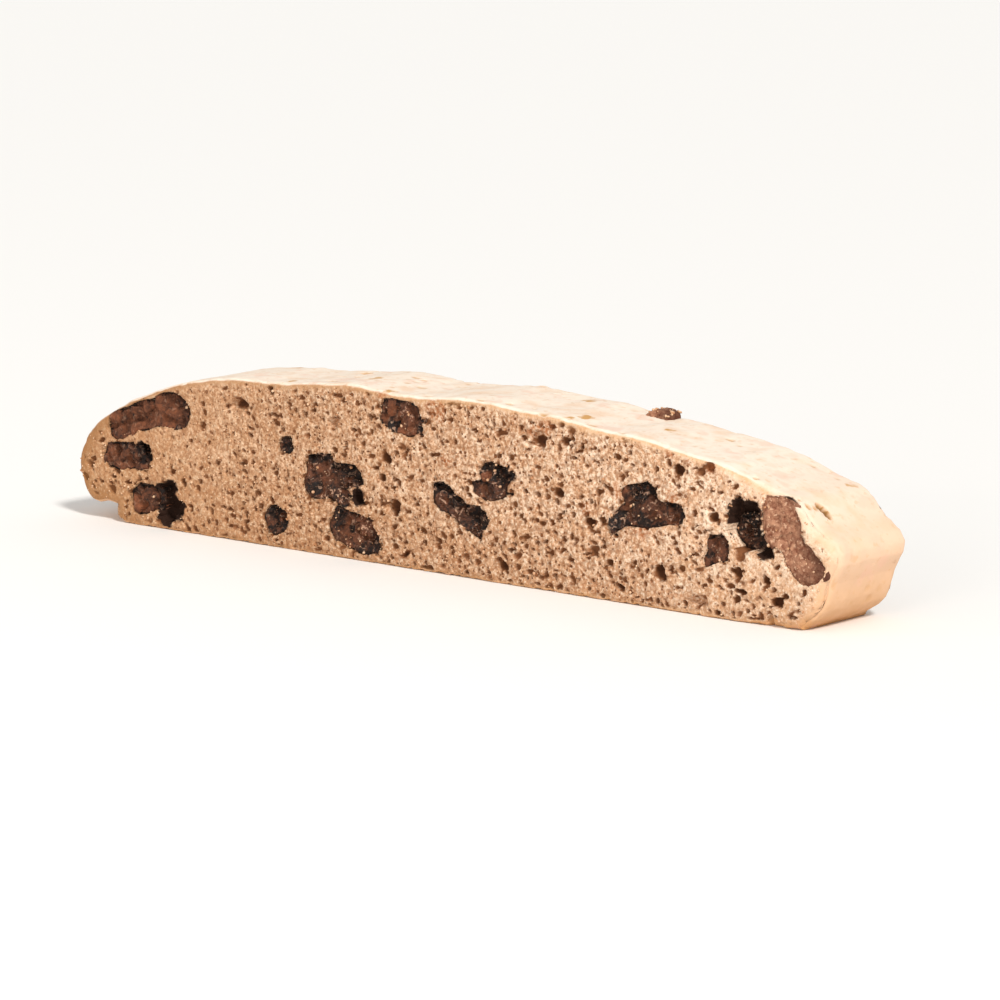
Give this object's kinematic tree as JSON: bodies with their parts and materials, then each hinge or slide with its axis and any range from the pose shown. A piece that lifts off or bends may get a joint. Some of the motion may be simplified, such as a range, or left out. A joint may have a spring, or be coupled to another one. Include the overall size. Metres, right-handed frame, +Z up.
{
  "type": "biscotti",
  "caption": "Long twice-baked biscuit slice with a domed crust, flat cut faces of open crumb and dark chocolate chunks set in them.",
  "frame": {"origin": "middle of the flat underside: the centre of the box round the slice, at its lowest face", "axes": "+X along the slice towards its blunt nose, +Y through its thickness from one cut face to the other, +Z up from the underside"},
  "size_m": [0.16, 0.0188, 0.0289],
  "materials": {
    "crumb": "matte",
    "chocolate": "satin",
    "chocolate_dusty": "matte"
  },
  "bodies": {
    "root": {"biscuit": "crumb", "chocolate_front_01": "chocolate", "chocolate_front_02": "chocolate", "chocolate_front_03": "chocolate", "chocolate_front_04": "chocolate", "chocolate_front_05": "chocolate", "chocolate_front_06": "chocolate", "chocolate_front_07": "chocolate", "chocolate_front_08": "chocolate", "chocolate_front_09": "chocolate", "chocolate_front_10": "chocolate", "chocolate_front_11": "chocolate", "chocolate_front_12": "chocolate", "chocolate_front_13": "chocolate", "chocolate_front_14": "chocolate_dusty", "chocolate_back_01": "chocolate", "chocolate_back_02": "chocolate", "chocolate_back_03": "chocolate_dusty", "chocolate_back_04": "chocolate", "chocolate_back_05": "chocolate", "chocolate_back_06": "chocolate", "chocolate_back_07": "chocolate", "chocolate_back_08": "chocolate", "chocolate_back_09": "chocolate", "chocolate_back_10": "chocolate", "chocolate_back_11": "chocolate_dusty", "chocolate_back_12": "chocolate", "chocolate_back_13": "chocolate", "chocolate_back_14": "chocolate"}
  },
  "joints": []
}
